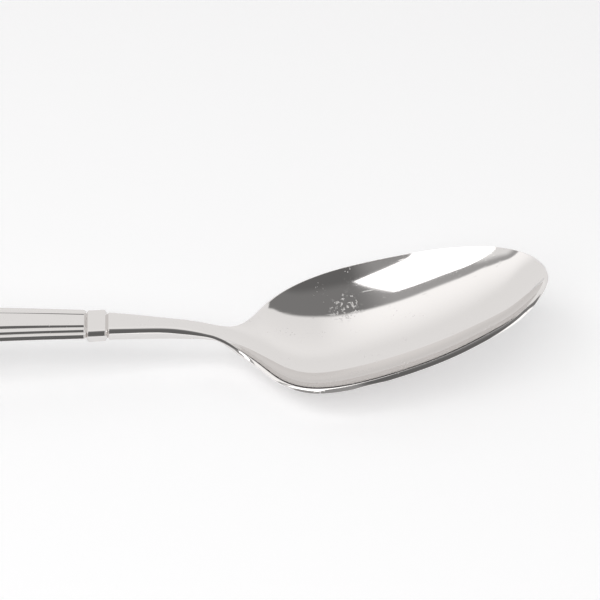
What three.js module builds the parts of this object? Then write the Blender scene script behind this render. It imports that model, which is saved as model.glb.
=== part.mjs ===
// A tablespoon in polished stainless steel, lying on its bowl and on the end of its handle.
// Millimetres. X runs along the spoon with the tip of the bowl at +X, Y runs across it, Z is up.
// The table is Z = 0 and X = 0 is half way along.
import * as THREE from 'three';
import { mergeVertices } from 'three/addons/utils/BufferGeometryUtils.js';

// Lengths of the four pieces, from the tip of the bowl to the end of the handle
const bowlLength = 73.9;
const shankLength = 24.25;
const collarLength = 4.6;
const handleLength = 102.75;

// Bowl
const mouthWidth = 43;        // across the widest part, between the inner edges of the rim
const tipRadius = 9.2;        // of the mouth, seen from above
const tipWall = 0.76;         // the rim's width at the tip
const bowlDepth = 9.3;        // below the rim
const tipRise = 15.78;        // the rim at the tip over the rim at its lowest
const rimWall = 1;            // metal at the rim
const floorWall = 1.45;       // metal in the middle
const lipBulge = 0.1;         // how far the rim rounds outward
const lipCrown = 0.08;        // how far the rim rounds upward

// Shank
const neckWidth = 4.7;
const neckThickness = 2.9;    // in the middle, where the bowl ends
const shankEndWidth = 8;
const shankEndThickness = 3.25;
const sideRound = 1.45;       // how far the sides of the shank round outward
const collarRise = 7.7;       // the top of the shank at the collar over the rim at its lowest

// Collar
const collarWidth = 9.5;
const collarThickness = 3.1;
const collarProud = 0.15;     // over the top of the shank
const collarSideRound = 1.3;
const jointDepth = 0.53;      // of the groove on either side of it, under its top
const jointReach = 0.42;      // from the bottom of that groove to its edge

// Handle
const handleStartWidth = 10.1;
const handleEndWidth = 18.8;
const handleThickness = 1.9;  // under the centre land
const landStartWidth = 3.76;
const landEndWidth = 9.16;
const terraceStartWidth = 6.8;
const terraceEndWidth = 15.6;
const landStartRise = 0.38;   // the land over the groove round it, beside the collar
const landRise = 0.5;         // and further on
const landRun = 0.42;
const grooveRise = 0.17;      // from the groove up to the terrace
const grooveRun = 0.22;
const terraceRise = 0.46;     // the terrace over the lowest tread
const terraceRun = 0.32;
const landRampLength = 19;
const bevelRun = 0.35;        // the sides lean in towards the top
const bevelDrop = 0.7;
const undersideRound = 1.1;
const treadDrop = 0.42;       // the lowest tread under the top of the collar, beside it
const crestRise = 1.35;       // the crest of the arch over the start of the handle

// The outline of the mouth: share of its length, share of the width that it has over the neck
const mouthShares = [
  [0.05, 0.378], [0.11, 0.589], [0.19, 0.743], [0.29, 0.87], [0.4, 0.951], [0.5, 0.991], [0.6, 0.999],
  [0.68, 0.963], [0.74, 0.892], [0.79, 0.782], [0.83, 0.637], [0.87, 0.434], [0.91, 0.237],
  [0.955, 0.082], [1, 0.012],
];
// The outline of the shank: share of its length, share of what it widens from neck to collar
const shankShares = [[0.12, 0], [0.31, 0.13], [0.56, 0.42], [0.8, 0.76], [1, 1]];
// The rim from the tip to its lowest place: share of the bowl's length, share of the tip's rise
const rimShares = [
  [0, 1], [0.1, 0.864], [0.22, 0.702], [0.36, 0.508], [0.5, 0.331], [0.63, 0.177], [0.75, 0.048],
  [0.85, 0],
];
// The top from there to the end of the bowl and along the shank: share of the collar's rise
const neckShares = [[0.93, 0.18], [1, 0.5]];
const shankRiseShares = [[0.3, 0.7], [0.65, 0.884], [1, 1]];
const tipRimSlope = -0.13;
const shankEndSlope = 0.09;
// The depth of the dish along its middle: share of the mouth's length, share of the depth
const dishShares = [
  [0.05, 0.272], [0.11, 0.495], [0.19, 0.703], [0.29, 0.871], [0.4, 0.965], [0.5, 1], [0.6, 0.98],
  [0.68, 0.906], [0.75, 0.773], [0.82, 0.556], [0.88, 0.32], [0.94, 0.105], [1, 0],
];
const tipDishSlope = 0.75;
const dishSquareShare = 0.92; // the rest of the cross section's height grows with the fourth power
// The handle: share of its length, share of its widening and of its height
const widenShares = [[0, 0], [0.2, 0.2], [0.42, 0.45], [0.65, 0.72], [0.85, 0.93], [1, 1]];
const riseShares = [[0, 0], [0.09, 0.44], [0.18, 0.82], [0.28, 1]];
const fallShares = [[0.45, 0.11], [0.6, 0.345], [0.75, 0.665], [0.86, 0.92]];
const crestSlope = 0.062;
// Where the rim's section turns into the shank's: shares of the bowl's and of the shank's length
const sideBlendShares = [0.91, 0.36];
const middleBlendShares = [0.6, -0.1];
const squareShares = [0.9, 1];
// The place that the rays to the tip of the bowl start from, and how fast they spread behind it
const rayStartShare = 0.52;
const raySpreadShares = [0.1, 0.65, 0.25];

// How finely the surfaces are divided
const rimSteps = 34;
const dishRows = 13;
const lipRows = 8;
const shankSteps = 16;
const shankRows = 3;
const handleSteps = 40;
const handleEndSteps = 12;
const roundRows = 4;

const totalLength = bowlLength + shankLength + collarLength + handleLength;
const collarFront = bowlLength + shankLength;
const handleFront = collarFront + collarLength;
const mouthLength = bowlLength - tipWall;
const mouthHalf = mouthWidth / 2;
const neckHalf = neckWidth / 2 - sideRound;
const shankEndHalf = shankEndWidth / 2 - sideRound;

const mix = (a, b, t) => a + (b - a) * t;
const ease = (t) => t * t * (3 - 2 * t);
const range = (count) => Array.from({ length: count + 1 }, (_, i) => i / count);
const between = (x, [start, end]) => Math.min(Math.max((x - start) / (end - start), 0), 1);

// A cubic spline through stations [x, y]; a slope that isn't given is left free.
function spline(stations, startSlope, endSlope) {
  const last = stations.length - 1;
  const x = stations.map((s) => s[0]);
  const y = stations.map((s) => s[1]);
  const diagonal = [];
  const right = [];
  const upper = [];
  for (let i = 0; i <= last; i++) {
    const before = i > 0 ? x[i] - x[i - 1] : 0;
    const after = i < last ? x[i + 1] - x[i] : 0;
    const slopeBefore = i > 0 ? (y[i] - y[i - 1]) / before : startSlope;
    const slopeAfter = i < last ? (y[i + 1] - y[i]) / after : endSlope;
    const free = slopeBefore === undefined || slopeAfter === undefined;
    const lower = i > 0 && !(free && i === last) ? before : 0;
    diagonal[i] = free ? 1 : 2 * (before + after);
    upper[i] = free ? 0 : after;
    right[i] = free ? 0 : 6 * (slopeAfter - slopeBefore);
    if (i > 0) {
      const factor = lower / diagonal[i - 1];
      diagonal[i] -= factor * upper[i - 1];
      right[i] -= factor * right[i - 1];
    }
  }
  const bend = new Array(last + 1).fill(0);
  for (let i = last; i >= 0; i--) {
    bend[i] = (right[i] - (i < last ? upper[i] * bend[i + 1] : 0)) / diagonal[i];
  }
  const locate = (at) => {
    let i = 0;
    while (i < last - 1 && at > x[i + 1]) i++;
    const h = x[i + 1] - x[i];
    return { i, h, a: (x[i + 1] - at) / h, b: (at - x[i]) / h };
  };
  return {
    at(place) {
      const { i, h, a, b } = locate(place);
      const curve = (a ** 3 - a) * bend[i] + (b ** 3 - b) * bend[i + 1];
      return a * y[i] + b * y[i + 1] + (curve * h * h) / 6;
    },
    slope(place) {
      const { i, h, a, b } = locate(place);
      const curve = (1 - 3 * a * a) * bend[i] + (3 * b * b - 1) * bend[i + 1];
      return (y[i + 1] - y[i]) / h + (curve * h) / 6;
    },
  };
}

// Half the width of the flat top, from the tip to the collar. Its square grows evenly with the
// distance from the tip of the mouth, so the spline runs through the width over the square root.
const openingHalf = (() => {
  const stations = [[0, Math.sqrt(2 * tipRadius * mouthLength)]];
  const add = (distance, half) => {
    const share = (distance - tipWall) / mouthLength;
    stations.push([share, half / Math.sqrt(share)]);
  };
  for (const [share, width] of mouthShares) {
    add(tipWall + share * mouthLength, mix(neckHalf, mouthHalf, width));
  }
  for (const [share, width] of shankShares) {
    add(bowlLength + share * shankLength, mix(neckHalf, shankEndHalf, width));
  }
  const curve = spline(stations);
  return {
    square(distance) {
      const share = (distance - tipWall) / mouthLength;
      const height = curve.at(share);
      const rise = height * height + 2 * share * height * curve.slope(share);
      return { value: share * height * height, slope: rise / mouthLength, factor: height * height };
    },
  };
})();

// The top along the spoon from tip to collar, over the lowest place of the rim
const topLine = (() => {
  const stations = rimShares.map(([share, rise]) => [share * bowlLength, rise * tipRise]);
  for (const [share, rise] of neckShares) stations.push([share * bowlLength, rise * collarRise]);
  for (const [share, rise] of shankRiseShares) {
    stations.push([bowlLength + share * shankLength, rise * collarRise]);
  }
  return spline(stations, tipRimSlope, shankEndSlope);
})();

// The depth of the dish over the distance from the tip of the mouth
const dishRate = (() => {
  const stations = [[0, tipDishSlope * mouthLength]];
  for (const [share, depth] of dishShares) stations.push([share, (depth * bowlDepth) / share]);
  return spline(stations);
})();

// The dish at a distance from the tip and a place across: height, slopes along and across
function dish(distance, across) {
  const share = (distance - tipWall) / mouthLength;
  const top = topLine.at(distance);
  const topSlope = topLine.slope(distance);
  if (share >= 1) return { height: top, along: topSlope, side: 0 };
  const rate = dishRate.at(share);
  const rateSlope = dishRate.slope(share);
  const depth = share * rate;
  const depthSlope = (rate + share * rateSlope) / mouthLength;
  const { value, slope, factor } = openingHalf.square(distance);
  const steep = rate / factor;
  const factorSlope = share > 0 ? (slope * mouthLength - factor) / share : 0;
  const steepSlope = (rateSlope / factor - (rate * factorSlope) / factor ** 2) / mouthLength;
  const square = across * across;
  const inside = value > 0 ? Math.min(square / value, 1) : 1;
  const fourth = 1 - dishSquareShare;
  return {
    height: top - depth + steep * square * (dishSquareShare + fourth * inside),
    along: topSlope - depthSlope + steepSlope * square * (dishSquareShare + fourth * inside)
      - steep * fourth * inside * inside * slope,
    side: 2 * steep * across * (dishSquareShare + 2 * fourth * inside),
  };
}

// How far down the groove at a joint beside the collar: 0 at its edge and beyond, 1 at its bottom
const sunk = (fromJoint) => Math.max(1 - fromJoint / jointReach, 0);

// One run of points round half of the spoon's section, from the middle of the underside over the
// side to the middle of the top. In the bowl it follows a ray to the rim, not a straight section.
function halfSection(distance, rows) {
  const blendOver = ([bowlShare, shankShare]) => ease(between(distance, [
    bowlShare * bowlLength,
    bowlLength + shankShare * shankLength,
  ]));
  const sideBlend = blendOver(sideBlendShares);
  const middleBlend = blendOver(middleBlendShares);
  const lean = 1 - ease(between(distance / bowlLength, squareShares));
  const mouthShare = Math.max((distance - tipWall) / mouthLength, 0);
  const { value, slope } = openingHalf.square(distance);
  const half = Math.sqrt(Math.max(value, 0));
  const [first, second, third] = raySpreadShares;
  const spread = mouthShare * (first + mouthShare * (second + mouthShare * third));
  const middle = mouthShare < 1 ? mix(rayStartShare * bowlLength, bowlLength, spread) : distance;
  const shankShare = Math.max(distance - bowlLength, 0) / shankLength;
  const stemWall = mix(neckThickness, shankEndThickness, shankShare);
  const inset = (jointDepth - collarProud) * sunk((1 - shankShare) * shankLength);

  const surface = (share) => {
    const place = mix(middle, distance, share);
    const across = (half - inset) * share;
    const { height, along, side } = dish(place, across);
    const middleWall = mix(floorWall, stemWall, middleBlend);
    const sideWall = mix(rimWall, stemWall, sideBlend);
    const wall = mix(middleWall, sideWall, share * share);
    const leaning = along * lean;
    const normal = Math.hypot(leaning, side, 1);
    return {
      top: [place, across, height - inset],
      under: [
        place + (wall * leaning) / normal,
        share === 0 ? 0 : across + (wall * side) / normal,
        height - wall / normal + inset,
      ],
    };
  };
  const shares = range(rows);
  const faces = shares.map(surface);
  const edge = faces[rows];
  // The way out of the rim, seen from above: square to the outline, and straight across at the end
  const turn = Math.hypot(slope * lean, 2 * half);
  const outward = [(-slope * lean) / turn, (2 * half) / turn];
  const bulge = mix(lipBulge, sideRound, sideBlend);
  const crown = lipCrown * (1 - sideBlend);
  const lip = range(lipRows).slice(1, -1).map((share) => {
    const angle = share * Math.PI;
    const up = mix(share, (1 - Math.cos(angle)) / 2, sideBlend);
    const out = Math.sin(angle);
    return [
      mix(edge.under[0], edge.top[0], up) + bulge * out * outward[0],
      mix(edge.under[1], edge.top[1], up) + bulge * out * outward[1],
      mix(edge.under[2], edge.top[2], up) + crown * out,
    ];
  });
  return [
    ...faces.map((face) => face.under),
    ...lip,
    ...faces.map((face) => face.top).reverse(),
  ];
}

// Half sections on the +Y side, in order along the piece, become one closed solid. Where the piece
// comes to a point the far half runs on round it; an open end is closed by a flat face.
function solid(halves, roundEnd) {
  const toWorld = ([distance, across, height]) => [halfWay - distance, across, height];
  const near = halves.map((half) => half.map(toWorld));
  const far = near.map((half) => half.map(([x, y, z]) => [x, -y, z]));
  const positions = [];
  const triangle = (...corners) => corners.forEach((corner) => positions.push(...corner));
  const quad = (a, b, c, d) => {
    triangle(a, b, c);
    triangle(a, c, d);
  };
  const strip = (left, right, flipped) => {
    for (let i = 0; i + 1 < left.length; i++) {
      if (flipped) quad(left[i], right[i], right[i + 1], left[i + 1]);
      else quad(left[i], left[i + 1], right[i + 1], right[i]);
    }
  };
  const cap = (nearHalf, farHalf, flipped) => {
    const loop = [...nearHalf, ...farHalf.slice(1, -1).reverse()];
    const heights = nearHalf.map((point) => point[2]);
    const centre = [nearHalf[0][0], 0, (Math.min(...heights) + Math.max(...heights)) / 2];
    loop.forEach((point, i) => {
      const next = loop[(i + 1) % loop.length];
      if (flipped) triangle(centre, point, next);
      else triangle(centre, next, point);
    });
  };
  for (let i = 0; i + 1 < near.length; i++) {
    strip(near[i], near[i + 1], false);
    strip(far[i], far[i + 1], true);
  }
  cap(near[0], far[0], false);
  if (!roundEnd) cap(near[near.length - 1], far[far.length - 1], true);
  return closed(positions);
}

// Joins equal corners, drops triangles without area and turns the faces outward.
function closed(positions) {
  const loose = new THREE.BufferGeometry();
  loose.setAttribute('position', new THREE.Float32BufferAttribute(positions, 3));
  const joined = mergeVertices(loose, 1e-4);
  const index = joined.index.array;
  const corner = (i) => new THREE.Vector3().fromBufferAttribute(joined.attributes.position, i);
  const kept = [];
  let volume = 0;
  for (let i = 0; i < index.length; i += 3) {
    const [a, b, c] = [index[i], index[i + 1], index[i + 2]];
    if (a === b || b === c || c === a) continue;
    kept.push(a, b, c);
    volume += corner(a).dot(corner(b).cross(corner(c)));
  }
  if (volume < 0) {
    for (let i = 0; i < kept.length; i += 3) [kept[i], kept[i + 1]] = [kept[i + 1], kept[i]];
  }
  joined.setIndex(kept);
  joined.computeVertexNormals();
  return joined;
}

// Bowl and shank, before they are set on the table
const bowlHalves = range(rimSteps).reverse().map((share) => {
  const distance = tipWall + mouthLength * (1 - Math.cos((share * Math.PI) / 2));
  return halfSection(share === 1 ? bowlLength : distance, dishRows);
});
const shankPlaces = range(shankSteps).map((share) => share * (shankLength - jointReach));
const shankHalves = [...shankPlaces, shankLength].map((place) => (
  halfSection(bowlLength + place, shankRows)
));
const lowest = Math.min(...bowlHalves.flat().map((point) => point[2]));
const onTable = (halves) => halves.map((half) => half.map(([d, y, z]) => [d, y, z - lowest]));
const shankTop = collarRise - lowest;
const foremost = Math.min(...bowlHalves.flat().map((point) => point[0]));
const halfWay = (foremost + totalLength) / 2;

// Collar: a band across the spoon with rounded sides, drawn in at both ends
function collarSection(place) {
  const inset = jointDepth * sunk(Math.min(place, collarLength - place));
  const thickness = collarThickness - 2 * inset;
  const flat = collarWidth / 2 - collarSideRound - inset;
  const top = shankTop + collarProud - inset;
  const distance = collarFront + place;
  const side = range(2 * roundRows).map((turn) => {
    const angle = turn * Math.PI;
    const out = collarSideRound * Math.sin(angle);
    return [distance, flat + out, top - (thickness * (1 + Math.cos(angle))) / 2];
  });
  return [[distance, 0, top - thickness], ...side, [distance, 0, top]];
}
const collarHalves = [0, jointReach, collarLength - jointReach, collarLength].map(collarSection);

// Handle: a stepped grip whose lanes widen together and turn round the same centre at its end
const endCentre = handleLength - handleEndWidth / 2;
const restStart = endCentre / handleLength; // its level end lies on the table
const jointTop = shankTop + collarProud - jointDepth;
const treadStart = shankTop + collarProud - treadDrop;
const treadEnd = handleThickness - terraceRise + grooveRise - landRise;
const handleRise = (() => {
  const crest = treadStart + crestRise;
  const stations = riseShares.map(([share, rise]) => [share, mix(treadStart, crest, rise)]);
  for (const [share, fall] of fallShares) {
    stations.push([share * restStart, mix(crest, treadEnd, fall)]);
  }
  stations.push([restStart, treadEnd]);
  return spline(stations, crestSlope * handleLength, 0);
})();
const widening = spline(widenShares, undefined, 0);

// Half the handle's section, from the middle of the underside to the middle of the top
function handleSection(place) {
  const wide = widening.at(place / endCentre);
  const outer = mix(handleStartWidth, handleEndWidth, wide) / 2 - jointDepth * sunk(place);
  const land = mix(landStartWidth, landEndWidth, wide) / 2;
  const terrace = mix(terraceStartWidth, terraceEndWidth, wide) / 2;
  const tread = handleRise.at(place / handleLength);
  const ramp = ease(Math.min(place / landRampLength, 1));
  const terraceTop = tread + terraceRise;
  const grooveFloor = terraceTop - grooveRise;
  const top = grooveFloor + mix(landStartRise, landRise, ramp);
  const under = top - handleThickness;
  const sideFoot = tread - bevelDrop;
  const level = (height) => mix(height, jointTop, sunk(place));
  const round = range(roundRows).map((turn) => {
    const angle = (turn * Math.PI) / 2;
    return [
      outer - undersideRound * (1 - Math.sin(angle)),
      sideFoot - (sideFoot - under) * Math.cos(angle),
    ];
  });
  return [
    [0, under],
    ...round,
    [outer - bevelRun, level(tread)],
    [terrace + terraceRun, level(tread)],
    [terrace, level(terraceTop)],
    [land + landRun + grooveRun, level(terraceTop)],
    [land + landRun, level(grooveFloor)],
    [land, level(top)],
    [0, level(top)],
  ];
}

const handlePlaces = [0, ...range(handleSteps).map((share) => mix(jointReach, endCentre, share))];
const straightHalves = handlePlaces.map((place) => (
  handleSection(place).map(([across, height]) => [handleFront + place, across, height])
));
const endSection = handleSection(endCentre);
const roundHalves = range(handleEndSteps).slice(1).map((share) => {
  const angle = (share * Math.PI) / 2;
  const along = Math.sin(angle);
  const side = share < 1 ? Math.cos(angle) : 0;
  return endSection.map(([across, height]) => (
    [handleFront + endCentre + across * along, across * side, height]
  ));
});
const handleHalves = [...straightHalves, ...roundHalves];

// Polished stainless steel
const steelColour = 0xdad8d5;
const polished = { metalness: 1, roughness: 0.12 };
const steel = (name) => new THREE.MeshStandardMaterial({ name, color: steelColour, ...polished });

const spoon = new THREE.Group();
const addPiece = (name, geometry) => {
  const piece = new THREE.Mesh(geometry, steel(`${name}_steel`));
  piece.name = name;
  spoon.add(piece);
};
addPiece('bowl', solid(onTable(bowlHalves), true));
addPiece('shank', solid(onTable(shankHalves), false));
addPiece('collar', solid(collarHalves, false));
addPiece('handle', solid(handleHalves, true));

export default spoon;
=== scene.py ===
"""A tablespoon in polished stainless steel, on a pale studio table.

The spoon's sizes are in millimetres and become metres when a mesh is made. Those of the table and
the lamps are in metres. X runs along the spoon with the tip of the bowl at +X, Y runs across it,
Z is up and the table is Z = 0.
"""

import math

import bmesh
import bpy
import numpy as np
from mathutils import Matrix, Vector


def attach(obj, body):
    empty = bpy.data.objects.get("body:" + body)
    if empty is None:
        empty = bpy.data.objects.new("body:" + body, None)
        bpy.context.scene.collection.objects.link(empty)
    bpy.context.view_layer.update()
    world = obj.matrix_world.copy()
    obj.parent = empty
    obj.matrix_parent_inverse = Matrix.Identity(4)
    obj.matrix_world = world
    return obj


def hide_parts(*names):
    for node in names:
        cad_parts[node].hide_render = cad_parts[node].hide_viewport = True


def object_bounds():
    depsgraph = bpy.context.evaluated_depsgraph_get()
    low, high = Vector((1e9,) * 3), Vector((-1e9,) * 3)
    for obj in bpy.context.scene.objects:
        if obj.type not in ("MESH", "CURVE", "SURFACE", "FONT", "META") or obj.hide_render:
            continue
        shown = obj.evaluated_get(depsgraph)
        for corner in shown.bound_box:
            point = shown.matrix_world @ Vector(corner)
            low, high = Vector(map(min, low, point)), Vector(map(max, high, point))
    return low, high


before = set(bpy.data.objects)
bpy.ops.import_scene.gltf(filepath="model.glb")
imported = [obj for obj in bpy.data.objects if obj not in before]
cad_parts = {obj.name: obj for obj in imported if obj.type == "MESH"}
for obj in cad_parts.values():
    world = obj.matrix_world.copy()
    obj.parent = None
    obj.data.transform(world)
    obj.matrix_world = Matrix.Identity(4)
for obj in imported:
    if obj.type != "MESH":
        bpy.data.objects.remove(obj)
cad_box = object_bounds()

MM = 0.001

# Lengths from the tip of the bowl to the end of the handle
BOWL_LENGTH = 73.9
SHANK_LENGTH = 24.25
COLLAR_LENGTH = 4.6
HANDLE_LENGTH = 102.75

# Bowl
MOUTH_WIDTH = 43
TIP_RADIUS = 9.2
TIP_WALL = 0.76
BOWL_DEPTH = 9.3
TIP_RISE = 15.78
RIM_WALL = 1
FLOOR_WALL = 1.45
LIP_FRONT_BULGE = 0.07
LIP_BACK_BULGE = 0.025
LIP_FRONT_CROWN = 0.05
LIP_FRONT_ROUND = 0.06
LIP_BACK_ROUND = 0.2
LIP_TILT = 0.12
LIP_ROOF_POWER = 1.5
THIN_RIM_WALL = 0.62
STEM_EDGE_ROUND = 0.03

# Shank
NECK_WIDTH = 4.7
NECK_THICKNESS = 2.3
SHANK_END_WIDTH = 8
SHANK_END_THICKNESS = 3.25
SIDE_ROUND = 1.45
COLLAR_RISE = 7.7

# Collar and the groove on either side of it
COLLAR_WIDTH = 9.5
COLLAR_THICKNESS = 3.1
COLLAR_PROUD = 0.15
COLLAR_SIDE_ROUND = 1.3
JOINT_DEPTH = 0.53
JOINT_REACH = 0.42
JOINT_SHOULDER_SHARE = 0.2

# Handle
HANDLE_START_WIDTH = 10.1
HANDLE_END_WIDTH = 18.8
HANDLE_THICKNESS = 1.9
LAND_START_WIDTH = 3.76
LAND_END_WIDTH = 9.16
TERRACE_START_WIDTH = 6.8
TERRACE_END_WIDTH = 15.6
LAND_START_RISE = 0.38
LAND_RISE = 0.5
LAND_RUN = 0.42
GROOVE_RISE = 0.17
GROOVE_RUN = 0.22
TERRACE_RISE = 0.46
TERRACE_RUN = 0.32
LAND_RAMP_LENGTH = 19
BEVEL_RUN = 0.35
BEVEL_DROP = 0.7
BEVEL_ROUND = 0.16
STEP_ROUND = 0.12
GROOVE_ROUND = 0.08
LAND_ROUND = 0.14
UNDERSIDE_ROUND = 1.1
TREAD_DROP = 0.42
CREST_RISE = 1.35

# Outlines and profiles: share of a length, share of a size
MOUTH_SHARES = [
    (0.05, 0.378), (0.11, 0.589), (0.19, 0.743), (0.29, 0.87), (0.4, 0.951), (0.5, 0.991),
    (0.6, 0.999), (0.68, 0.963), (0.74, 0.892), (0.79, 0.782), (0.83, 0.637), (0.87, 0.434),
    (0.91, 0.262), (0.955, 0.127), (1, 0.06),
]
SHANK_SHARES = [(0.12, 0.48), (0.31, 0.26), (0.56, 0.42), (0.8, 0.76), (1, 1)]
RIM_SHARES = [
    (0, 1), (0.1, 0.864), (0.22, 0.702), (0.36, 0.508), (0.5, 0.331), (0.63, 0.177), (0.75, 0.048),
    (0.85, 0),
]
NECK_SHARES = [(0.93, 0.11), (1, 0.41)]
SHANK_RISE_SHARES = [(0.3, 0.715), (0.65, 0.884), (1, 1)]
TIP_RIM_SLOPE = -0.13
SHANK_END_SLOPE = 0.09
DISH_SHARES = [
    (0.05, 0.272), (0.11, 0.495), (0.19, 0.703), (0.29, 0.871), (0.4, 0.965), (0.5, 1), (0.6, 0.98),
    (0.68, 0.906), (0.75, 0.773), (0.82, 0.556), (0.88, 0.32), (0.94, 0.105), (1, 0),
]
TIP_DISH_SLOPE = 0.75
DISH_SQUARE_SHARE = 0.92
WIDEN_SHARES = [(0, 0), (0.2, 0.2), (0.42, 0.45), (0.65, 0.72), (0.85, 0.93), (1, 1)]
RISE_SHARES = [(0, 0), (0.09, 0.44), (0.18, 0.82), (0.28, 1)]
FALL_SHARES = [(0.45, 0.11), (0.6, 0.345), (0.75, 0.665), (0.86, 0.92)]
CREST_SLOPE = 0.062
SIDE_BLEND_SHARES = (0.91, 0.36)
MIDDLE_BLEND_SHARES = (0.6, -0.1)
SQUARE_SHARES = (0.9, 1)
LIP_BACK_SHARES = (0.42, 0.58)
THIN_RIM_SHARES = (0.72, 0.84)
RAY_START_SHARE = 0.52
RAY_SPREAD_SHARES = (0.1, 0.65, 0.25)
JOINT_STEP_SHARES = (0, 0.3, 0.6, 0.8, 0.86, 0.93, 1, 1.07, 1.14)

# How finely the meshes are divided
BOWL_STEPS = 140
STEM_STEPS = 70
SECTION_STEPS = 48
LIP_POINTS = 14
COLLAR_SIDE_STEPS = 32
HANDLE_STEPS = 220
END_STEPS = 48
UNDERSIDE_STEPS = 10
FILLET_STEPS = 6
FILLET_LIMIT = 0.6
SLIVER = 1e-7
SEAM_REACH = 2e-7

TOTAL_LENGTH = BOWL_LENGTH + SHANK_LENGTH + COLLAR_LENGTH + HANDLE_LENGTH
COLLAR_FRONT = BOWL_LENGTH + SHANK_LENGTH
HANDLE_FRONT = COLLAR_FRONT + COLLAR_LENGTH
MOUTH_LENGTH = BOWL_LENGTH - TIP_WALL
NECK_HALF = NECK_WIDTH / 2 - SIDE_ROUND
SHANK_END_HALF = SHANK_END_WIDTH / 2 - SIDE_ROUND


def mix(a, b, t):
    return a + (b - a) * t


def ease(t):
    return t * t * (3 - 2 * t)


def between(x, start, end):
    return np.clip((x - start) / (end - start), 0, 1)


def towards(here, there, reach):
    """The point at a short reach from here, never past the fillet limit's share of the way."""
    gap = np.linalg.norm(there - here)
    return here + (there - here) * min(reach / max(gap, 1e-9), FILLET_LIMIT)


def fillet(start, corner, end):
    t = np.linspace(0, 1, FILLET_STEPS + 1)[:, None]
    return (1 - t) ** 2 * start + 2 * t * (1 - t) * corner + t * t * end


def sunk(from_joint):
    """How far down the groove at a joint: 1 at its bottom, 0 beyond its softened shoulder."""
    t = from_joint / JOINT_REACH
    soft = JOINT_SHOULDER_SHARE
    if t < 1 - soft:
        return 1 - t
    return max(1 + soft - t, 0) ** 2 / (4 * soft)


class Spline:
    """A cubic spline through stations (x, y). A slope that isn't given is left free."""

    def __init__(self, stations, start_slope=None, end_slope=None):
        self.x, self.y = np.array(stations, float).T
        last = len(self.x) - 1
        gap = np.diff(self.x)
        rise = np.diff(self.y) / gap
        rows = np.zeros((last + 1, last + 1))
        right = np.zeros(last + 1)
        for i in range(1, last):
            rows[i, i - 1:i + 2] = gap[i - 1], 2 * (gap[i - 1] + gap[i]), gap[i]
            right[i] = 6 * (rise[i] - rise[i - 1])
        rows[0, 0] = rows[last, last] = 1
        if start_slope is not None:
            rows[0, :2] = 2 * gap[0], gap[0]
            right[0] = 6 * (rise[0] - start_slope)
        if end_slope is not None:
            rows[last, last - 1:] = gap[-1], 2 * gap[-1]
            right[last] = 6 * (end_slope - rise[-1])
        self.bend = np.linalg.solve(rows, right)

    def _span(self, place):
        i = np.clip(np.searchsorted(self.x, place) - 1, 0, len(self.x) - 2)
        gap = self.x[i + 1] - self.x[i]
        return i, gap, (self.x[i + 1] - place) / gap, (place - self.x[i]) / gap

    def at(self, place):
        i, gap, a, b = self._span(place)
        curve = (a ** 3 - a) * self.bend[i] + (b ** 3 - b) * self.bend[i + 1]
        return a * self.y[i] + b * self.y[i + 1] + curve * gap * gap / 6

    def slope(self, place):
        i, gap, a, b = self._span(place)
        curve = (1 - 3 * a * a) * self.bend[i] + (3 * b * b - 1) * self.bend[i + 1]
        return (self.y[i + 1] - self.y[i]) / gap + curve * gap / 6


def make_opening():
    stations = [(0, math.sqrt(2 * TIP_RADIUS * MOUTH_LENGTH))]

    def add(distance, half):
        share = (distance - TIP_WALL) / MOUTH_LENGTH
        stations.append((share, half / math.sqrt(share)))

    for share, width in MOUTH_SHARES:
        add(TIP_WALL + share * MOUTH_LENGTH, mix(NECK_HALF, MOUTH_WIDTH / 2, width))
    for share, width in SHANK_SHARES:
        add(BOWL_LENGTH + share * SHANK_LENGTH, mix(NECK_HALF, SHANK_END_HALF, width))
    return Spline(stations)


def make_top_line():
    stations = [(share * BOWL_LENGTH, rise * TIP_RISE) for share, rise in RIM_SHARES]
    stations += [(share * BOWL_LENGTH, rise * COLLAR_RISE) for share, rise in NECK_SHARES]
    stations += [
        (BOWL_LENGTH + share * SHANK_LENGTH, rise * COLLAR_RISE)
        for share, rise in SHANK_RISE_SHARES
    ]
    return Spline(stations, TIP_RIM_SLOPE, SHANK_END_SLOPE)


opening_half = make_opening()
top_line = make_top_line()
dish_rate = Spline(
    [(0, TIP_DISH_SLOPE * MOUTH_LENGTH)]
    + [(share, depth * BOWL_DEPTH / share) for share, depth in DISH_SHARES]
)


def opening_square(distance):
    """Half the mouth's width squared, the slope of that, and that over the share of the length."""
    share = (distance - TIP_WALL) / MOUTH_LENGTH
    height = opening_half.at(share)
    rise = height ** 2 + 2 * share * height * opening_half.slope(share)
    return share * height ** 2, rise / MOUTH_LENGTH, height ** 2


def dish(distance, across):
    """Height of the dish, and its slopes along and across, over the rim's lowest place."""
    share = (distance - TIP_WALL) / MOUTH_LENGTH
    top = top_line.at(distance)
    top_slope = top_line.slope(distance)
    inside_bowl = share < 1
    share = np.clip(share, 1e-9, 1)
    rate = dish_rate.at(share)
    rate_slope = dish_rate.slope(share)
    value, slope, factor = opening_square(np.where(inside_bowl, distance, BOWL_LENGTH))
    steep = rate / factor
    factor_slope = (slope * MOUTH_LENGTH - factor) / share
    steep_slope = (rate_slope / factor - rate * factor_slope / factor ** 2) / MOUTH_LENGTH
    depth_slope = (rate + share * rate_slope) / MOUTH_LENGTH
    square = across ** 2
    inside = np.minimum(square / np.maximum(value, 1e-9), 1)
    fourth = 1 - DISH_SQUARE_SHARE
    form = DISH_SQUARE_SHARE + fourth * inside
    height = top - share * rate + steep * square * form
    along = top_slope - depth_slope + steep_slope * square * form
    along -= steep * fourth * inside ** 2 * slope
    side = 2 * steep * across * (DISH_SQUARE_SHARE + 2 * fourth * inside)
    return (
        np.where(inside_bowl, height, top),
        np.where(inside_bowl, along, top_slope),
        np.where(inside_bowl, side, 0),
    )


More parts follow.
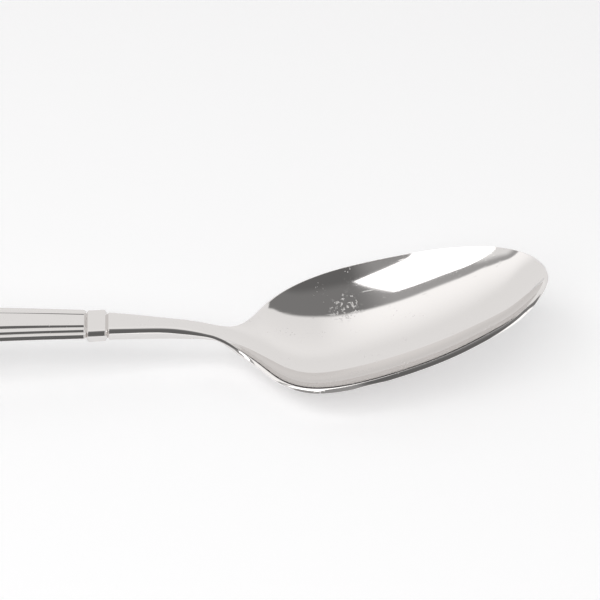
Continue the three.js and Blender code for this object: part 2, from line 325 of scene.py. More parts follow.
def half_section(distance):
    """Points from the middle of the underside over the side to the middle of the top."""

    def blend_over(bowl_share, shank_share):
        start = bowl_share * BOWL_LENGTH
        return ease(between(distance, start, BOWL_LENGTH + shank_share * SHANK_LENGTH))

    side_blend = blend_over(*SIDE_BLEND_SHARES)
    middle_blend = blend_over(*MIDDLE_BLEND_SHARES)
    lean = 1 - ease(between(distance / BOWL_LENGTH, *SQUARE_SHARES))
    mouth_share = max((distance - TIP_WALL) / MOUTH_LENGTH, 0)
    value, slope, _ = opening_square(distance)
    half = math.sqrt(max(value, 0))
    first, second, third = RAY_SPREAD_SHARES
    spread = mouth_share * (first + mouth_share * (second + mouth_share * third))
    middle = distance
    if mouth_share < 1:
        middle = mix(RAY_START_SHARE * BOWL_LENGTH, BOWL_LENGTH, spread)
    shank_share = max(distance - BOWL_LENGTH, 0) / SHANK_LENGTH
    stem_wall = mix(NECK_THICKNESS, SHANK_END_THICKNESS, min(2 * shank_share, 1))

    share = np.linspace(0, 1, SECTION_STEPS + 1)
    place = mix(middle, distance, share)
    inset = (JOINT_DEPTH - COLLAR_PROUD) * sunk(COLLAR_FRONT - distance)
    across = (half - inset) * share
    height, along, side = dish(place, across)
    middle_wall = mix(FLOOR_WALL, stem_wall, middle_blend)
    thin = ease(between(distance / BOWL_LENGTH, *THIN_RIM_SHARES))
    side_wall = mix(mix(RIM_WALL, THIN_RIM_WALL, thin), stem_wall, side_blend)
    wall = mix(middle_wall, side_wall, share ** 2)
    leaning = along * lean
    normal = np.sqrt(leaning ** 2 + side ** 2 + 1)
    top = np.stack([place, across, height - inset], 1)
    under = np.stack([
        place + wall * leaning / normal,
        across + wall * side / normal,
        height - wall / normal + inset,
    ], 1)
    under[0, 1] = 0

    turn = math.hypot(slope * lean, 2 * half)
    outward = np.array([-slope * lean / turn, 2 * half / turn])
    back = ease(between(distance / BOWL_LENGTH, *LIP_BACK_SHARES))
    bulge = mix(mix(LIP_FRONT_BULGE, LIP_BACK_BULGE, back), SIDE_ROUND, side_blend)
    crown = mix(LIP_FRONT_CROWN, 0, back)
    tilt = mix(LIP_TILT, 0, side_blend)
    edge_round = mix(mix(LIP_FRONT_ROUND, LIP_BACK_ROUND, back), STEM_EDGE_ROUND, side_blend)
    under[-1, :2] += tilt * outward
    lip_share = np.linspace(STEM_EDGE_ROUND / side_wall, 1 - edge_round / side_wall, LIP_POINTS)
    lip_share = lip_share[:, None]
    angle = math.pi * lip_share
    lip = mix(under[-1], top[-1], mix(lip_share, (1 - np.cos(angle)) / 2, side_blend))
    roof = 1 - np.abs(2 * lip_share - 1) ** LIP_ROOF_POWER
    swell = mix(roof, np.sin(angle), side_blend)
    lip[:, :2] += bulge * swell * outward
    lip[:, 2:] += crown * swell
    lower = fillet(towards(under[-1], under[-2], STEM_EDGE_ROUND), under[-1], lip[0])
    upper = fillet(lip[-1], top[-1], towards(top[-1], top[-2], edge_round))
    return np.concatenate([under[:-1], lower, lip[1:-1], upper, top[-2::-1]])


def world_points(halves, base, half_way):
    """Half sections in millimetres as points in metres."""
    points = np.array(halves) * MM
    return np.stack(
        [half_way * MM - points[..., 0], points[..., 1], points[..., 2] - base * MM], -1
    )


def finished(piece):
    """Keeps a piece inside the solid's box and shades it smoothly, with flat end faces.

    Wide faces lead the shading, so a flat stays flat beside its fillets.
    """
    mesh = piece.data
    bm = bmesh.new()
    bm.from_mesh(mesh)
    bmesh.ops.dissolve_degenerate(bm, edges=bm.edges, dist=SLIVER)
    bmesh.ops.recalc_face_normals(bm, faces=bm.faces)
    for vert in bm.verts:
        vert.co = [min(max(v, low), high) for v, low, high in zip(vert.co, *cad_box)]
    bm.to_mesh(mesh)
    bm.free()
    mesh.shade_smooth()
    corners = np.zeros(len(mesh.loops), int)
    mesh.loops.foreach_get("vertex_index", corners)
    count = np.zeros(len(mesh.polygons), int)
    mesh.polygons.foreach_get("loop_total", count)
    area = np.zeros(len(mesh.polygons))
    mesh.polygons.foreach_get("area", area)
    facing = np.zeros(len(mesh.polygons) * 3)
    mesh.polygons.foreach_get("normal", facing)
    facing = facing.reshape(-1, 3)
    face = np.repeat(np.arange(len(count)), count)
    side = count[face] <= 4
    total = np.zeros((len(mesh.vertices), 3))
    np.add.at(total, corners[side], (facing * area[:, None])[face[side]])
    total /= np.maximum(np.linalg.norm(total, axis=1), 1e-30)[:, None]
    mesh.normals_split_custom_set(np.where(side[:, None], total[corners], facing[face]).tolist())
    return piece


def new_object(name, mesh):
    piece = bpy.data.objects.new(name, mesh)
    bpy.context.scene.collection.objects.link(piece)
    return piece


def loft(name, near, close_end):
    """One closed mesh through half sections on the +Y side, with flat faces on the ends given."""
    far = near[:, ::-1][:, 1:-1] * (1, -1, 1)
    rings = np.concatenate([near, far], 1)
    count, size = rings.shape[:2]
    mesh = bpy.data.meshes.new(name)
    faces = []
    for i in range(count - 1):
        this, other = i * size, (i + 1) * size
        for j in range(size):
            after = (j + 1) % size
            faces.append((this + j, this + after, other + after, other + j))
    mesh.from_pydata(rings.reshape(-1, 3).tolist(), [], faces)
    bm = bmesh.new()
    bm.from_mesh(mesh)
    bm.verts.ensure_lookup_table()
    for ring in close_end:
        start = (ring % count) * size
        bm.faces.new([bm.verts[start + j] for j in range(size)])
    bmesh.ops.remove_doubles(bm, verts=bm.verts, dist=SEAM_REACH)
    bm.to_mesh(mesh)
    bm.free()
    return finished(new_object(name, mesh))


def even_stations(start, end, count):
    return [mix(start, end, i / count) for i in range(count + 1)]


# Distances from a joint at which a piece gets a section, and where its even stretch begins
joint_steps = [JOINT_REACH * share for share in JOINT_STEP_SHARES]
joint_end = JOINT_REACH * (1 + JOINT_SHOULDER_SHARE)

# Bowl and shank in one flowing form
bowl_stations = [
    TIP_WALL + MOUTH_LENGTH * (1 - math.cos(share * math.pi / 2))
    for share in np.linspace(0, 1, BOWL_STEPS + 1)
]
bowl_stations[-1] = BOWL_LENGTH
stem_stations = even_stations(BOWL_LENGTH, COLLAR_FRONT - joint_end, STEM_STEPS)[1:]
stem_stations += [COLLAR_FRONT - step for step in reversed(joint_steps)]
bowl_halves = [half_section(distance) for distance in bowl_stations]
stem_halves = [half_section(distance) for distance in stem_stations]
base = min(half[:, 2].min() for half in bowl_halves)
foremost = min(half[:, 0].min() for half in bowl_halves)
half_way = (foremost + TOTAL_LENGTH) / 2
bowl_and_shank = loft(
    "bowl_and_shank", world_points(bowl_halves + stem_halves, base, half_way), close_end=(-1,)
)

# Collar
shank_top = COLLAR_RISE - base


def collar_section(place):
    inset = JOINT_DEPTH * sunk(min(place, COLLAR_LENGTH - place))
    thickness = COLLAR_THICKNESS - 2 * inset
    flat = COLLAR_WIDTH / 2 - COLLAR_SIDE_ROUND - inset
    top = shank_top + COLLAR_PROUD - inset
    distance = COLLAR_FRONT + place
    side = [
        (
            distance,
            flat + COLLAR_SIDE_ROUND * math.sin(angle),
            top - thickness * (1 + math.cos(angle)) / 2,
        )
        for angle in np.linspace(0, math.pi, COLLAR_SIDE_STEPS + 1)
    ]
    return [(distance, 0, top - thickness), *side, (distance, 0, top)]


collar_places = joint_steps + [joint_end, COLLAR_LENGTH / 2]
collar_places += [COLLAR_LENGTH - place for place in reversed(collar_places[:-1])]
collar = loft(
    "collar_band",
    world_points([collar_section(place) for place in collar_places], 0, half_way),
    close_end=(0, -1),
)

# Handle: a section whose lanes widen together is swept along the arch and round its end
end_centre = HANDLE_LENGTH - HANDLE_END_WIDTH / 2
rest_start = end_centre / HANDLE_LENGTH
joint_top = shank_top + COLLAR_PROUD - JOINT_DEPTH
tread_start = shank_top + COLLAR_PROUD - TREAD_DROP
tread_end = HANDLE_THICKNESS - TERRACE_RISE + GROOVE_RISE - LAND_RISE
crest = tread_start + CREST_RISE
handle_rise = Spline(
    [(share, mix(tread_start, crest, rise)) for share, rise in RISE_SHARES]
    + [(share * rest_start, mix(crest, tread_end, fall)) for share, fall in FALL_SHARES]
    + [(rest_start, tread_end)],
    CREST_SLOPE * HANDLE_LENGTH,
    0,
)
widening = Spline(WIDEN_SHARES, None, 0)


def polyline(name, points, attributes, closed=False):
    """A row of points with a value of each attribute at every point."""
    count = len(points)
    mesh = bpy.data.meshes.new(name)
    edges = [(i, i + 1) for i in range(count - 1)] + ([(count - 1, 0)] if closed else [])
    mesh.from_pydata([tuple(p) for p in points], edges, [])
    for key, values in attributes.items():
        attribute = mesh.attributes.new(key, "FLOAT", "POINT")
        attribute.data.foreach_set("value", np.array(values, np.float32))
    return new_object(name, mesh)


def handle_rail():
    """The handle's middle line at the height of its lowest tread."""
    places = joint_steps + even_stations(joint_end, end_centre, HANDLE_STEPS)
    turns = [0] * len(places)
    for angle in np.linspace(0, math.pi / 2, END_STEPS + 1)[1:]:
        places.append(end_centre)
        turns.append(angle)
    heights = [float(handle_rise.at(place / HANDLE_LENGTH)) for place in places]
    points = [
        ((half_way - HANDLE_FRONT - place) * MM, 0, height * MM)
        for place, height in zip(places, heights)
    ]
    return polyline("handle_rail", points, {
        "widening": [float(widening.at(place / end_centre)) for place in places],
        "ramp": [ease(min(place / LAND_RAMP_LENGTH, 1)) for place in places],
        "sunk": [sunk(place) for place in places],
        "turn": turns,
    })


LANE_KEYS = ("land", "terrace", "outer", "run", "lift", "rise", "upper")


def lane(reach=0, **values):
    return {key: 0 for key in LANE_KEYS} | values | {"reach": reach}


def rounded(corners):
    """Rows of lane values, with a fillet at every corner that has a reach."""

    def lane_order(corner):
        return corner["land"] + 2 * corner["terrace"] + 3 * corner["outer"]

    def step_to(here, there, reach):
        lanes_apart = lane_order(there) - lane_order(here)
        if lanes_apart:
            return {**here, "run": here["run"] + math.copysign(reach, lanes_apart)}
        climb = there["rise"] - here["rise"] + (there["lift"] - here["lift"]) * LAND_RISE
        part = reach / math.hypot(there["run"] - here["run"], climb)
        return {key: mix(here[key], there[key], part) for key in LANE_KEYS}

    rows = []
    for i, corner in enumerate(corners):
        values = np.array([corner[key] for key in LANE_KEYS], float)
        if not corner["reach"]:
            rows.append(values)
            continue
        before, after = (
            np.array([step_to(corner, corners[j], corner["reach"])[key] for key in LANE_KEYS])
            for j in (i - 1, i + 1)
        )
        rows.extend(fillet(before, values, after))
    return np.array(rows)


def handle_profile():
    """Half the handle's section as lanes, over its lowest tread, and its mirror image."""
    groove = TERRACE_RISE - GROOVE_RISE
    under = groove - HANDLE_THICKNESS
    corners = [lane(lift=1, rise=under)]
    for angle in np.linspace(0, math.pi / 2, UNDERSIDE_STEPS + 1):
        hang = math.cos(angle)
        corners.append(lane(
            outer=1, run=-UNDERSIDE_ROUND * (1 - math.sin(angle)), lift=hang,
            rise=mix(-BEVEL_DROP, under, hang),
        ))
    corners += [
        lane(BEVEL_ROUND, outer=1, run=-BEVEL_RUN, upper=1),
        lane(STEP_ROUND, terrace=1, run=TERRACE_RUN, upper=1),
        lane(STEP_ROUND, terrace=1, rise=TERRACE_RISE, upper=1),
        lane(GROOVE_ROUND, land=1, run=LAND_RUN + GROOVE_RUN, rise=TERRACE_RISE, upper=1),
        lane(GROOVE_ROUND, land=1, run=LAND_RUN, rise=groove, upper=1),
        lane(LAND_ROUND, land=1, lift=1, rise=groove, upper=1),
        lane(lift=1, rise=groove, upper=1),
    ]
    half = rounded(corners)
    other = half[::-1][1:-1].copy()
    rows = np.concatenate([half, other])
    side = np.array([1.0] * len(half) + [-1.0] * len(other))
    side[0] = side[len(half) - 1] = 0
    angle = np.linspace(0, 2 * math.pi, len(rows), endpoint=False)
    points = np.stack([np.cos(angle), np.sin(angle), 0 * angle], 1) * MM
    values = {name: rows[:, i] for i, name in enumerate(LANE_KEYS)}
    return polyline("handle_profile", points, values | {"side": side}, closed=True)


class Tree:
    """Short calls for building a node tree."""

    def __init__(self, tree):
        self.tree = tree

    def input(self, name, kind="NodeSocketFloat", default=None):
        socket = self.tree.interface.new_socket(name=name, in_out="INPUT", socket_type=kind)
        if default is not None:
            socket.default_value = default

    def output(self, name, kind="NodeSocketFloat"):
        self.tree.interface.new_socket(name=name, in_out="OUTPUT", socket_type=kind)

    def node(self, kind, values=(), **settings):
        node = self.tree.nodes.new(kind)
        for key, value in settings.items():
            setattr(node, key, value)
        for key, value in dict(values).items():
            self.put(value, node.inputs[key])
        return node

    def put(self, value, socket):
        if isinstance(value, bpy.types.NodeSocket):
            self.tree.links.new(value, socket)
        else:
            socket.default_value = value

    def math(self, operation, *values):
        return self.node("ShaderNodeMath", dict(enumerate(values)), operation=operation).outputs[0]

    def blend(self, factor, a, b):
        return self.node("ShaderNodeMix", {0: factor, 2: a, 3: b}, data_type="FLOAT").outputs[0]

    def ramp(self, value, from_min, from_max, to_min=0.0, to_max=1.0):
        return self.node("ShaderNodeMapRange", {
            "Value": value, "From Min": from_min, "From Max": from_max, "To Min": to_min,
            "To Max": to_max,
        }, interpolation_type="SMOOTHSTEP").outputs[0]


def sweep_tree():
    """Sweeps a profile of lanes along a rail. Every lane keeps its place in the widening."""
    t = Tree(bpy.data.node_groups.new("stepped_sweep", "GeometryNodeTree"))
    t.input("Rail", "NodeSocketGeometry")
    t.input("Profile", "NodeSocketObject")
    for name in ("Land", "Terrace", "Outer", "Lift"):
        t.input(f"{name} Start")
        t.input(f"{name} End")
    t.input("Joint Depth")
    t.input("Joint Top")
    t.input("Steel", "NodeSocketMaterial")
    t.output("Geometry", "NodeSocketGeometry")
    start = t.node("NodeGroupInput").outputs

    def value(name):
        return t.node("GeometryNodeInputNamedAttribute", {0: name}, data_type="FLOAT").outputs[0]

    rail = t.node("GeometryNodeStoreNamedAttribute", {
        0: start["Rail"], 2: "rail_place", 3: t.node("GeometryNodeInputPosition").outputs[0],
    }, data_type="FLOAT_VECTOR", domain="POINT")
    rail_curve = t.node("GeometryNodeMeshToCurve", {0: rail.outputs[0]})
    profile = t.node("GeometryNodeObjectInfo", {0: start["Profile"]})
    profile_curve = t.node("GeometryNodeMeshToCurve", {0: profile.outputs["Geometry"]})
    tube = t.node("GeometryNodeCurveToMesh", {
        "Curve": rail_curve.outputs[0], "Profile Curve": profile_curve.outputs[0],
        "Fill Caps": True,
    })

    def width(name):
        spread = t.math("SUBTRACT", start[f"{name} End"], start[f"{name} Start"])
        grown = t.math("MULTIPLY", spread, value("widening"))
        half = t.math("MULTIPLY", t.math("ADD", start[f"{name} Start"], grown), 0.5)
        return t.math("MULTIPLY", half, value(name.lower()))

    across = t.math("ADD", t.math("ADD", width("Land"), width("Terrace")), width("Outer"))
    across = t.math("ADD", across, value("run"))
    drawn_in = t.math("MULTIPLY", start["Joint Depth"], value("sunk"))
    drawn_in = t.math("MULTIPLY", drawn_in, value("outer"))
    across = t.math("SUBTRACT", across, drawn_in)
    lift = t.math("SUBTRACT", start["Lift End"], start["Lift Start"])
    lift = t.math("MULTIPLY_ADD", lift, value("ramp"), start["Lift Start"])
    height = t.math("MULTIPLY_ADD", lift, value("lift"), value("rise"))
    turn = value("turn")
    rail_place = t.node(
        "GeometryNodeInputNamedAttribute", {0: "rail_place"}, data_type="FLOAT_VECTOR"
    )
    x, y, z = t.node("ShaderNodeSeparateXYZ", {0: rail_place.outputs[0]}).outputs
    back = t.math("MULTIPLY", t.math("MULTIPLY", across, t.math("SINE", turn)), -MM)
    aside = t.math("MULTIPLY", t.math("MULTIPLY", across, t.math("COSINE", turn)), MM)
    aside = t.math("MULTIPLY", aside, value("side"))
    level = t.math("MULTIPLY_ADD", height, MM, z)
    level = t.blend(
        t.math("MULTIPLY", value("sunk"), value("upper")),
        level,
        t.math("MULTIPLY", start["Joint Top"], MM),
    )
    position = t.node("ShaderNodeCombineXYZ", {0: t.math("ADD", x, back), 1: aside, 2: level})
    placed = t.node("GeometryNodeSetPosition", {0: tube.outputs[0], 2: position.outputs[0]})
    end_cap = t.math("GREATER_THAN", turn, math.pi / 2 - 1e-3)
    trimmed = t.node(
        "GeometryNodeDeleteGeometry", {0: placed.outputs[0], 1: end_cap}, domain="FACE"
    )
    joined = t.node("GeometryNodeMergeByDistance", {0: trimmed.outputs[0], "Distance": SEAM_REACH})
    real = t.node("GeometryNodeRealizeInstances", {0: joined.outputs[0]})
    steel = t.node("GeometryNodeSetMaterial", {0: real.outputs[0], "Material": start["Steel"]})
    t.node("NodeGroupOutput", {0: steel.outputs[0]})
    return t.tree


HELPER_ATTRIBUTES = (*LANE_KEYS, "side", "widening", "ramp", "sunk", "turn", "rail_place")


def modelled(host, tree, inputs, name):
    """The host mesh run through a tree, as a plain mesh object."""
    modifier = host.modifiers.new(tree.name, "NODES")
    modifier.node_group = tree
    for socket in tree.interface.items_tree:
        if socket.in_out == "INPUT" and socket.name in inputs:
            modifier[socket.identifier] = inputs[socket.name]
    host.update_tag()
    depsgraph = bpy.context.evaluated_depsgraph_get()
    mesh = bpy.data.meshes.new_from_object(host.evaluated_get(depsgraph))
    mesh.name = name
    for attribute in [a.name for a in mesh.attributes if a.name in HELPER_ATTRIBUTES]:
        mesh.attributes.remove(mesh.attributes[attribute])
    return finished(new_object(name, mesh))


# Polished steel and the marks on it. Scales are per metre, and a mark fades in over its range.
STEEL_TINT = (0.74, 0.722, 0.712, 1)
STEEL_ROUGHNESS = 0.05
NOISE_ROUGHNESS = 0.55
HAZE_SCALE = 95.0
HAZE_RANGE = (0.35, 0.75)
HAIRLINE_SCALE = (55, 2600, 900)
HAIRLINE_RANGE = (0.66, 0.74)
HAIRLINE_TURNS = (0.15, -0.6, 1.3)
HAIRLINE_PATCH_SCALE = 170.0
HAIRLINE_PATCH_GROWTH = 30
HAIRLINE_PATCH_RANGE = (0.5, 0.66)
PIT_SCALE = 1250.0
PIT_RANGE = (0.3, 0.12)
PITTED_SCALE = 190.0
PITTED_RANGE = (0.55, 0.68)
SCUFF_SCALE = 1300.0
SCUFF_RANGE = (0.54, 0.64)
SCUFF_FADE = (1.0, 0.4)
SCUFF_PLACE = (59.2 * MM, 13.6 * MM, 6.1 * MM)
SCUFF_REACH = 5 * MM
MARK_TINT = (0.3, 0.29, 0.28, 1)
MARK_DULLING = 0.02
HAIRLINE_ROUGHNESS = 0.1
PIT_ROUGHNESS = 0.4
PIT_DEPTH = 0.3
RELIEF_STRENGTH = 0.1
RELIEF_DISTANCE = 0.02 * MM


def wear_group():
    """Fine marks on polished steel, in object space: haze, hairlines, pits and one scuff."""
    t = Tree(bpy.data.node_groups.new("worn_polish", "ShaderNodeTree"))
    t.input("Tint", "NodeSocketColor", (0.8, 0.8, 0.8, 1))
    t.input("Roughness")
    t.input("Haze")
    t.input("Hairlines")
    t.input("Pits")
    t.input("Scuff", "NodeSocketVector")
    t.input("Scuff Size")
    t.output("Color", "NodeSocketColor")
    t.output("Roughness")
    t.output("Height")
    start = t.node("NodeGroupInput").outputs
    place = t.node("ShaderNodeTexCoord").outputs["Object"]

    def noise(vector, scale, detail=2.0):
        return t.node("ShaderNodeTexNoise", {
            "Vector": vector, "Scale": scale, "Detail": detail, "Roughness": NOISE_ROUGHNESS,
        }).outputs[0]

    def hairlines(turn, seed):
        """Thin lines along one direction, sparse and broken."""
        turned = t.node("ShaderNodeMapping", {
            "Vector": place, "Location": (seed, seed, seed), "Rotation": (0, 0, turn),
            "Scale": HAIRLINE_SCALE,
        }).outputs[0]
        line = t.ramp(noise(turned, 1.0, detail=1.0), *HAIRLINE_RANGE)
        patch_scale = HAIRLINE_PATCH_SCALE + HAIRLINE_PATCH_GROWTH * seed
        patch = t.ramp(noise(place, patch_scale, detail=1.0), *HAIRLINE_PATCH_RANGE)
        return t.math("MULTIPLY", line, patch)

    haze = t.ramp(noise(place, HAZE_SCALE, detail=4.0), *HAZE_RANGE)
    first, second, third = HAIRLINE_TURNS
    lines = t.math("MAXIMUM", hairlines(first, 1.0), hairlines(second, 2.0))
    lines = t.math("MAXIMUM", lines, hairlines(third, 3.0))
    lines = t.math("MULTIPLY", lines, start["Hairlines"])
    cell = t.node("ShaderNodeTexVoronoi", {"Vector": place, "Scale": PIT_SCALE})
    from_scuff = t.node(
        "ShaderNodeVectorMath", {0: place, 1: start["Scuff"]}, operation="DISTANCE"
    ).outputs["Value"]
    scuff_size = t.math("MAXIMUM", start["Scuff Size"], 1e-6)
    scuff = t.ramp(t.math("DIVIDE", from_scuff, scuff_size), *SCUFF_FADE)
    rubbed = t.ramp(noise(place, SCUFF_SCALE, detail=3.0), *SCUFF_RANGE)
    pitted = t.ramp(noise(place, PITTED_SCALE), *PITTED_RANGE)
    pit = t.math("MULTIPLY", t.ramp(cell.outputs["Distance"], *PIT_RANGE), pitted)
    pit = t.math("MAXIMUM", pit, t.math("MULTIPLY", scuff, rubbed))
    pit = t.math("MULTIPLY", pit, start["Pits"])
    rough = t.math("MULTIPLY_ADD", haze, start["Haze"], start["Roughness"])
    rough = t.math("MULTIPLY_ADD", lines, HAIRLINE_ROUGHNESS, rough)
    rough = t.math("MULTIPLY_ADD", pit, PIT_ROUGHNESS, rough)
    dulled = t.math("MULTIPLY", lines, MARK_DULLING)
    dulled = t.math("MULTIPLY_ADD", pit, MARK_DULLING, dulled)
    colour = t.node("ShaderNodeMix", {
        0: dulled, 6: start["Tint"], 7: MARK_TINT,
    }, data_type="RGBA")
    height = t.math("MULTIPLY", t.math("MULTIPLY_ADD", pit, PIT_DEPTH, lines), -1.0)
    t.node("NodeGroupOutput", {0: colour.outputs[2], 1: rough, 2: height})
    return t.tree


def steel_material(name, wear, haze=0.03, hairlines=1.0, scuff=(0, 0, 0), scuff_size=0.0):
    material = bpy.data.materials.new(name)
    material.use_nodes = True
    t = Tree(material.node_tree)
    shader = t.tree.nodes["Principled BSDF"]
    marks = t.node("ShaderNodeGroup", node_tree=wear)
    for key, value in {
        "Tint": STEEL_TINT, "Roughness": STEEL_ROUGHNESS, "Haze": haze, "Hairlines": hairlines,
        "Pits": 1.0, "Scuff": scuff, "Scuff Size": scuff_size,
    }.items():
        marks.inputs[key].default_value = value
    relief = t.node("ShaderNodeBump", {
        "Strength": RELIEF_STRENGTH, "Distance": RELIEF_DISTANCE,
        "Height": marks.outputs["Height"],
    })
    t.put(marks.outputs["Color"], shader.inputs["Base Color"])
    t.put(marks.outputs["Roughness"], shader.inputs["Roughness"])
    t.put(relief.outputs[0], shader.inputs["Normal"])
    shader.inputs["Metallic"].default_value = 1
    return material


wear = wear_group()
bowl_steel = steel_material(
    "bowl_steel", wear, haze=0.02, scuff=SCUFF_PLACE, scuff_size=SCUFF_REACH
)
collar_steel = steel_material("collar_steel", wear, hairlines=0.7)
handle_steel = steel_material("handle_steel", wear)

rail = handle_rail()
profile = handle_profile()
handle = modelled(rail, sweep_tree(), {
    "Profile": profile,
    "Land Start": LAND_START_WIDTH, "Land End": LAND_END_WIDTH,
    "Terrace Start": TERRACE_START_WIDTH, "Terrace End": TERRACE_END_WIDTH,
    "Outer Start": HANDLE_START_WIDTH, "Outer End": HANDLE_END_WIDTH,
    "Lift Start": LAND_START_RISE, "Lift End": LAND_RISE,
    "Joint Depth": JOINT_DEPTH, "Joint Top": joint_top,
    "Steel": handle_steel,
}, "stepped_handle")
for helper in (rail, profile):
    bpy.data.objects.remove(helper)
bowl_and_shank.data.materials.append(bowl_steel)
collar.data.materials.append(collar_steel)

for piece, nodes, slot in (
    (bowl_and_shank, ("bowl", "shank"), "bowl_steel"),
    (collar, ("collar",), "collar_steel"),
    (handle, ("handle",), "handle_steel"),
):
    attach(piece, "root")
    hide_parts(*nodes)


# Table
TABLE_COLOUR = (0.9, 0.9, 0.905, 1)
TABLE_ROUGHNESS = 0.9
TABLE_GLOSS = 0.2
TABLE_GLOW = 0.28
TABLE_HALF = 3


def table_paint():
    """Pale paint that keeps shadows. A glow lifts it where the camera or the steel sees it."""
    material = bpy.data.materials.new("table_paint")
    material.use_nodes = True
    t = Tree(material.node_tree)
    shader = t.tree.nodes["Principled BSDF"]
    shader.inputs["Base Color"].default_value = TABLE_COLOUR
    shader.inputs["Roughness"].default_value = TABLE_ROUGHNESS
    shader.inputs["Specular IOR Level"].default_value = TABLE_GLOSS
    path = t.node("ShaderNodeLightPath").outputs
    seen = t.math("MAXIMUM", path["Is Camera Ray"], path["Is Glossy Ray"])
    shader.inputs["Emission Color"].default_value = TABLE_COLOUR
    t.put(t.math("MULTIPLY", seen, TABLE_GLOW), shader.inputs["Emission Strength"])
    return material


table_mesh = bpy.data.meshes.new("table")
table_corners = [
    (x * TABLE_HALF, y * TABLE_HALF, 0) for x, y in ((-1, -1), (1, -1), (1, 1), (-1, 1))
]
table_mesh.from_pydata(table_corners, [], [(0, 1, 2, 3)])
table = new_object("table", table_mesh)
table_mesh.materials.append(table_paint())

# The room, as steel sees it. A direction is told by where it meets a ceiling one unit up: across
# is along X and away is along Y. The room's pale part begins beyond an edge, and before that edge
# lies its unlit side, which is lighter round the soft box and in a reflection of a reflection.
# The curve that holds the edge runs from 0 to 1, so the edge is stored half a unit up.
LOWEST_LOOK = 0.02
ROOM_TINT = (1.0, 0.992, 0.985, 1)
WORLD_LIGHT = 0.56
EDGE_STATIONS = [
    (-2.4, 0.5), (-1.85, 0.44), (-1.3, 0.27), (-1.0, 0.17), (-0.8, 0.092), (-0.6, 0.082),
    (-0.4, 0.09), (-0.22, 0.08), (-0.05, 0.035), (0.2, 0.008), (0.6, 0.015), (1.2, 0.07),
    (1.8, 0.2), (2.4, 0.34),
]
EDGE_REACH = 2.4
EDGE_LIFT = 0.5
EDGE_SOFTNESS = 0.028
DARK_SIDE_END = (1.9, 2.3)
DARK_SIDE = 0.235
DARK_SIDE_LOW = -0.08
DARK_SIDE_LOW_AWAY = (-0.28, -0.42)
DARK_SIDE_BY_PANEL = 0.2
DARK_SIDE_BY_PANEL_ACROSS = (-0.3, -0.45)
DARK_SIDE_AGAIN = 0.9
SECOND_BOUNCE = (1.2, 1.8)
HALO = 0.95
HALO_ACROSS = (-0.82, -0.9)
HALO_END_ACROSS = (-2.4, -2.0)
HALO_AWAY = (-0.35, -0.2)
HALO_BEFORE_EDGE = (-0.08, -0.25)
SIDE_WINDOW = 1.5
SIDE_WINDOW_ACROSS = (0.85, 1.0)
SIDE_WINDOW_AWAY = (-0.35, -0.45)
PALE = 0.965
PALE_ABOVE = 0.09
PALE_ABOVE_AWAY = (1.35, 0.7)
PALE_BY_EDGE = -0.08
PALE_BY_EDGE_REACH = (0.9, 0.0)
PALE_BY_PANEL = 0.3
PALE_BY_PANEL_ACROSS = (0.0, -0.4)
CAMERA_PALE = 0.94


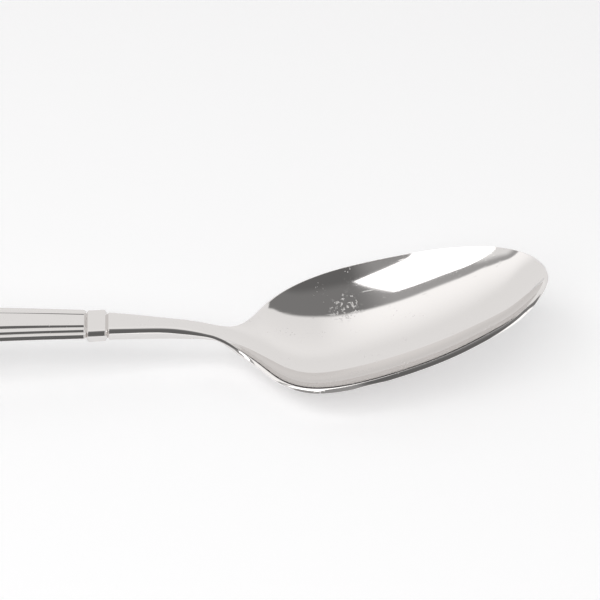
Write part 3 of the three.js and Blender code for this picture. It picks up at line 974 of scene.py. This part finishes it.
def studio_world():
    """A pale room with an unlit near side, as steel sees it."""
    world = bpy.data.worlds.new("studio")
    bpy.context.scene.world = world
    world.use_nodes = True
    world.node_tree.nodes.clear()
    t = Tree(world.node_tree)
    direction = t.node("ShaderNodeTexCoord").outputs["Generated"]
    x, y, z = t.node("ShaderNodeSeparateXYZ", {0: direction}).outputs
    up = t.math("MAXIMUM", z, LOWEST_LOOK)
    across = t.math("DIVIDE", x, up)
    away = t.math("DIVIDE", y, up)
    edge = t.node("ShaderNodeFloatCurve")
    curve = edge.mapping.curves[0]
    stations = [
        ((edge_across + EDGE_REACH) / (2 * EDGE_REACH), edge_away + EDGE_LIFT)
        for edge_across, edge_away in EDGE_STATIONS
    ]
    curve.points[0].location = stations[0]
    curve.points[-1].location = stations[-1]
    for station in stations[1:-1]:
        curve.points.new(*station)
    edge.mapping.update()
    t.put(t.math("MULTIPLY_ADD", across, 0.5 / EDGE_REACH, 0.5), edge.inputs["Value"])
    beyond = t.math("SUBTRACT", away, t.math("SUBTRACT", edge.outputs[0], EDGE_LIFT))
    path = t.node("ShaderNodeLightPath").outputs

    def shared(*factors):
        total = factors[0]
        for factor in factors[1:]:
            total = t.math("MULTIPLY", total, factor)
        return total

    low = t.ramp(away, *DARK_SIDE_LOW_AWAY)
    dark = t.math("MULTIPLY_ADD", low, DARK_SIDE_LOW, DARK_SIDE)
    by_panel = t.ramp(across, *DARK_SIDE_BY_PANEL_ACROSS)
    dark = t.math("MULTIPLY_ADD", by_panel, DARK_SIDE_BY_PANEL, dark)
    halo = shared(
        t.ramp(across, *HALO_ACROSS),
        t.ramp(beyond, *HALO_BEFORE_EDGE),
        t.ramp(away, *HALO_AWAY),
        t.ramp(across, *HALO_END_ACROSS),
    )
    dark = t.blend(halo, dark, HALO)
    window = shared(t.ramp(across, *SIDE_WINDOW_ACROSS), t.ramp(away, *SIDE_WINDOW_AWAY))
    dark = t.blend(window, dark, SIDE_WINDOW)
    again = shared(t.ramp(path["Glossy Depth"], *SECOND_BOUNCE), DARK_SIDE_AGAIN)
    dark = t.math("MAXIMUM", dark, again)
    by_panel = t.ramp(across, *PALE_BY_PANEL_ACROSS)
    by_edge = t.math("MULTIPLY_ADD", by_panel, PALE_BY_PANEL, PALE_BY_EDGE)
    pale = t.math("MULTIPLY_ADD", t.ramp(away, *PALE_ABOVE_AWAY), PALE_ABOVE, PALE)
    pale = t.math("MULTIPLY_ADD", t.ramp(beyond, *PALE_BY_EDGE_REACH), by_edge, pale)
    lit = t.ramp(beyond, -EDGE_SOFTNESS, EDGE_SOFTNESS)
    lit = t.math("MAXIMUM", lit, t.ramp(across, *DARK_SIDE_END))
    lit = t.math("MAXIMUM", lit, t.math("LESS_THAN", z, 0.0))
    seen = t.blend(lit, dark, pale)
    strength = t.blend(path["Is Glossy Ray"], t.math("MULTIPLY", seen, WORLD_LIGHT), seen)
    strength = t.blend(path["Is Camera Ray"], strength, CAMERA_PALE)
    background = t.node("ShaderNodeBackground", {"Color": ROOM_TINT, "Strength": strength})
    t.node("ShaderNodeOutputWorld", {0: background.outputs[0]})


studio_world()

BOWL_PLACE = Vector((0.075, 0.017, 0.012))


def area_lamp(name, centre, across, upward, size, power):
    """A rectangular lamp that faces the bowl."""
    light = bpy.data.lights.new(name, "AREA")
    light.shape = "RECTANGLE"
    light.size, light.size_y = size
    light.energy = power
    u = across.normalized()
    v = (upward - u * u.dot(upward)).normalized()
    w = u.cross(v)
    if w.dot(centre - BOWL_PLACE) < 0:
        v, w = -v, -w
    lamp = new_object(name, light)
    lamp.matrix_world = Matrix.Translation(centre) @ Matrix((u, v, w)).transposed().to_4x4()
    return lamp


# The soft box: an upright panel whose top edge runs between two directions from the bowl
PANEL_NEAR = Vector((-0.335, -0.36, 1))
PANEL_FAR = Vector((-0.466, -0.078, 1.036))
PANEL_DOWN = Vector((-0.123, 0.05, -0.99))
PANEL_TOP = 1.2
PANEL_HEIGHT = 0.72
PANEL_POWER = 1.6
panel_edge = (PANEL_FAR - PANEL_NEAR) * PANEL_TOP
panel_centre = BOWL_PLACE + PANEL_NEAR * PANEL_TOP + panel_edge / 2 + PANEL_DOWN * PANEL_HEIGHT / 2
panel_size = (panel_edge.length, PANEL_HEIGHT)
area_lamp("soft_box", panel_centre, panel_edge, PANEL_DOWN, panel_size, PANEL_POWER)

# A wide lamp on the near side lights the table only. The steel would show it as a white patch.
WIDE_LAMP_DIRECTION = Vector((-0.35, -0.85, 1))
WIDE_LAMP_DISTANCE = 1.5
WIDE_LAMP_SIZE = (1.2, 1.2)
WIDE_LAMP_POWER = 11.5
lamp_centre = BOWL_PLACE + WIDE_LAMP_DIRECTION.normalized() * WIDE_LAMP_DISTANCE
lamp_across = Vector((1, 0, 0))
lamp_up = -WIDE_LAMP_DIRECTION.cross(lamp_across)
wide_lamp = area_lamp(
    "wide_lamp", lamp_centre, lamp_across, lamp_up, WIDE_LAMP_SIZE, WIDE_LAMP_POWER
)
wide_lamp.visible_glossy = False

# Camera: a long lens that looks down on the spoon
ELEVATION = math.radians(36.084)
TURN = math.radians(4.876)
LENS = 108
SENSOR = 36
LOOK_CENTRE = Vector((32.772, 0, 11.24))
LOOK_RIGHT, LOOK_UP, LOOK_BACK = 14.661, 6.794, 403.01
camera_data = bpy.data.cameras.new("camera")
camera_data.sensor_width = SENSOR
camera_data.lens = LENS
camera = bpy.data.objects.new("camera", camera_data)
bpy.context.scene.collection.objects.link(camera)
turned = Matrix.Rotation(-TURN, 3, "Z")
right = turned @ Vector((1, 0, 0))
up = turned @ Vector((0, math.sin(ELEVATION), math.cos(ELEVATION)))
ahead = turned @ Vector((0, math.cos(ELEVATION), -math.sin(ELEVATION)))
eye = right * LOOK_RIGHT + up * LOOK_UP - ahead * LOOK_BACK + LOOK_CENTRE
turn_matrix = Matrix((right, up, -ahead)).transposed().to_4x4()
camera.matrix_world = Matrix.Translation(eye * MM) @ turn_matrix
bpy.context.scene.camera = camera

bpy.context.scene.view_settings.view_transform = "Standard"
